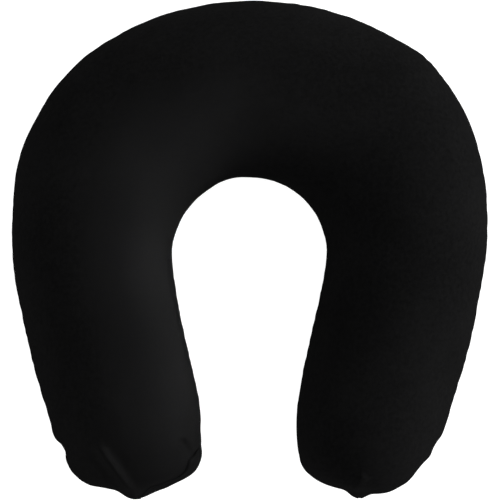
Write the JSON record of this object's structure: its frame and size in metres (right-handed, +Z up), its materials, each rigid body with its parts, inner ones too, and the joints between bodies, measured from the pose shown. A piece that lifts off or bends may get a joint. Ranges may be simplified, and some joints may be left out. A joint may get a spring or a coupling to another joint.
{
  "type": "u shaped neck pillow",
  "caption": "Soft U-shaped travel neck pillow in black stretch knit, round in section, open at the front, with a zip hidden low round the back.",
  "frame": {"origin": "centre of the pillow's plan box, on the flat face it lies on", "axes": "+Z up, the back of the U towards +Y, the leg ends and the open front towards -Y, +X to the right seen from above with the back at the top"},
  "size_m": [0.2998, 0.314, 0.092],
  "materials": {
    "cover_knit": "black nylon and elastane stretch knit, smooth, with a soft low sheen",
    "thread": "black polyester sewing thread",
    "liner_cloth": "undyed thin woven polyester",
    "liner_thread": "undyed sewing thread",
    "beads": "white expanded polystyrene beads, packed",
    "zip_tape": "black woven polyester tape",
    "zip_coil": "black nylon coil",
    "zip_metal": "black lacquered zinc alloy",
    "label_satin": "blank off-white satin",
    "label_thread": "off-white sewing thread"
  },
  "bodies": {
    "pillow": {"cover_top_panel": "cover_knit", "cover_bottom_panel": "cover_knit", "cover_seam_thread": "thread", "leg_tip_tack_left": "thread", "leg_tip_tack_right": "thread", "liner_top_panel": "liner_cloth", "liner_bottom_panel": "liner_cloth", "liner_seam_thread": "liner_thread", "bead_filling": "beads", "zip_tape_upper": "zip_tape", "zip_tape_lower": "zip_tape", "zip_coil_upper": "zip_coil", "zip_coil_lower": "zip_coil", "zip_top_stop_upper": "zip_metal", "zip_top_stop_lower": "zip_metal", "zip_bottom_stop": "zip_metal", "zip_stitching_upper": "thread", "zip_stitching_lower": "thread", "zip_bar_tack_left": "thread", "zip_bar_tack_right": "thread", "care_label": "label_satin", "care_label_stitching": "label_thread"},
    "zip_slider_body": {"zip_slider": "zip_metal"},
    "zip_pull_body": {"zip_pull": "zip_metal"}
  },
  "joints": [
    {"name": "zip_travel", "type": "hinge", "parent": "pillow", "child": "zip_slider_body", "pos_m": [0, -0.026, 0.023], "axis": [0, 0, 1], "range_deg": [0, 42]},
    {"name": "pull_swing", "type": "hinge", "parent": "zip_slider_body", "child": "zip_pull_body", "pos_m": [0.06567, 0.14173, 0.02148], "axis": [0.1759, 0.4583, 0.8712], "range_deg": [0, 170]}
  ]
}
